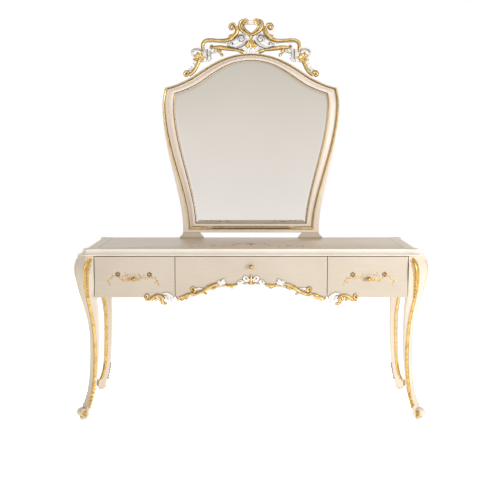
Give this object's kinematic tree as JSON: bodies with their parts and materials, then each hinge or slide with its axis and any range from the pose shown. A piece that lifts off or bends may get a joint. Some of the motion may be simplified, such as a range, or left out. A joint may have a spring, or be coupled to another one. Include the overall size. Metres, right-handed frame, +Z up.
{
  "type": "vanity table with mirror",
  "caption": "Cream and gold carved vanity table on cabriole legs, with drawers under a moulded top and a shaped mirror with an openwork crest standing at the back.",
  "frame": {"origin": "centre of the object's outline on the floor, under the middle of the table", "axes": "+Z up; -Y towards the person seated at the table; +X to that person's right as they face the mirror"},
  "size_m": [1.5934, 0.5567, 1.8507],
  "materials": {
    "beech": "unfinished, sanded",
    "cream_lacquer": "satin ivory lacquer over wood",
    "fibreboard": "plain board",
    "gold_leaf": "gold leaf with an antique brown glaze over carved wood",
    "nylon_glide": "matt",
    "polished_brass": "polished",
    "silvered_glass": "silvered, polished",
    "white_lacquer": "white lacquer over carved wood",
    "zinc_steel": "zinc plated"
  },
  "bodies": {
    "table": {"tabletop": "cream_lacquer", "leg_front_left": "cream_lacquer", "leg_front_right": "cream_lacquer", "leg_rear_left": "cream_lacquer", "leg_rear_right": "cream_lacquer", "leg_carving_front_left": "gold_leaf", "leg_carving_front_right": "gold_leaf", "leg_carving_rear_left": "gold_leaf", "leg_carving_rear_right": "gold_leaf", "foot_glides": "nylon_glide", "end_panel_left": "cream_lacquer", "end_panel_right": "cream_lacquer", "back_panel": "cream_lacquer", "partition_left": "beech", "partition_right": "beech", "bottom_board_left": "beech", "bottom_board_centre": "beech", "bottom_board_right": "beech", "front_stretcher": "beech", "rear_stretcher": "beech", "corner_blocks": "beech", "leg_bolts": "zinc_steel", "top_screws": "zinc_steel", "slide_cabinet_members": "zinc_steel", "mirror_frame": "cream_lacquer", "frame_gilding": "gold_leaf", "mirror_glass": "silvered_glass", "mirror_backing": "fibreboard", "backing_clips": "zinc_steel", "mirror_foot_left": "cream_lacquer", "mirror_foot_right": "cream_lacquer", "mirror_posts": "beech", "post_screws": "zinc_steel", "foot_bolts": "zinc_steel", "crest_gold_scrolls": "gold_leaf", "crest_white_scrolls": "white_lacquer"},
    "left_drawer": {"drawer_front_left": "cream_lacquer", "drawer_sides_left": "beech", "drawer_back_left": "beech", "drawer_bottom_left": "beech", "knob_left": "polished_brass", "drawer_carving_left": "gold_leaf", "slide_drawer_left": "zinc_steel"},
    "centre_drawer": {"drawer_front_centre": "cream_lacquer", "drawer_sides_centre": "beech", "drawer_back_centre": "beech", "drawer_bottom_centre": "beech", "knob_centre": "polished_brass", "drawer_carving_centre": "gold_leaf", "slide_drawer_centre": "zinc_steel"},
    "right_drawer": {"drawer_front_right": "cream_lacquer", "drawer_sides_right": "beech", "drawer_back_right": "beech", "drawer_bottom_right": "beech", "knob_right": "polished_brass", "drawer_carving_right": "gold_leaf", "slide_drawer_right": "zinc_steel"},
    "left_slide_middle": {"slide_middle_left": "zinc_steel"},
    "centre_slide_middle": {"slide_middle_centre": "zinc_steel"},
    "right_slide_middle": {"slide_middle_right": "zinc_steel"}
  },
  "joints": [
    {"name": "left_drawer_slide", "type": "slide", "parent": "table", "child": "left_drawer", "axis": [0, -1, 0], "range_m": [0, 0.3]},
    {"name": "left_slide_middle_travel", "type": "slide", "parent": "table", "child": "left_slide_middle", "axis": [0, -1, 0], "range_m": [0, 0.15]},
    {"name": "centre_drawer_slide", "type": "slide", "parent": "table", "child": "centre_drawer", "axis": [0, -1, 0], "range_m": [0, 0.3]},
    {"name": "centre_slide_middle_travel", "type": "slide", "parent": "table", "child": "centre_slide_middle", "axis": [0, -1, 0], "range_m": [0, 0.15]},
    {"name": "right_drawer_slide", "type": "slide", "parent": "table", "child": "right_drawer", "axis": [0, -1, 0], "range_m": [0, 0.3]},
    {"name": "right_slide_middle_travel", "type": "slide", "parent": "table", "child": "right_slide_middle", "axis": [0, -1, 0], "range_m": [0, 0.15]}
  ],
  "couplings": [
    {"joint": "left_slide_middle_travel", "follows": "left_drawer_slide", "ratio": 0.5},
    {"joint": "centre_slide_middle_travel", "follows": "centre_drawer_slide", "ratio": 0.5},
    {"joint": "right_slide_middle_travel", "follows": "right_drawer_slide", "ratio": 0.5}
  ]
}
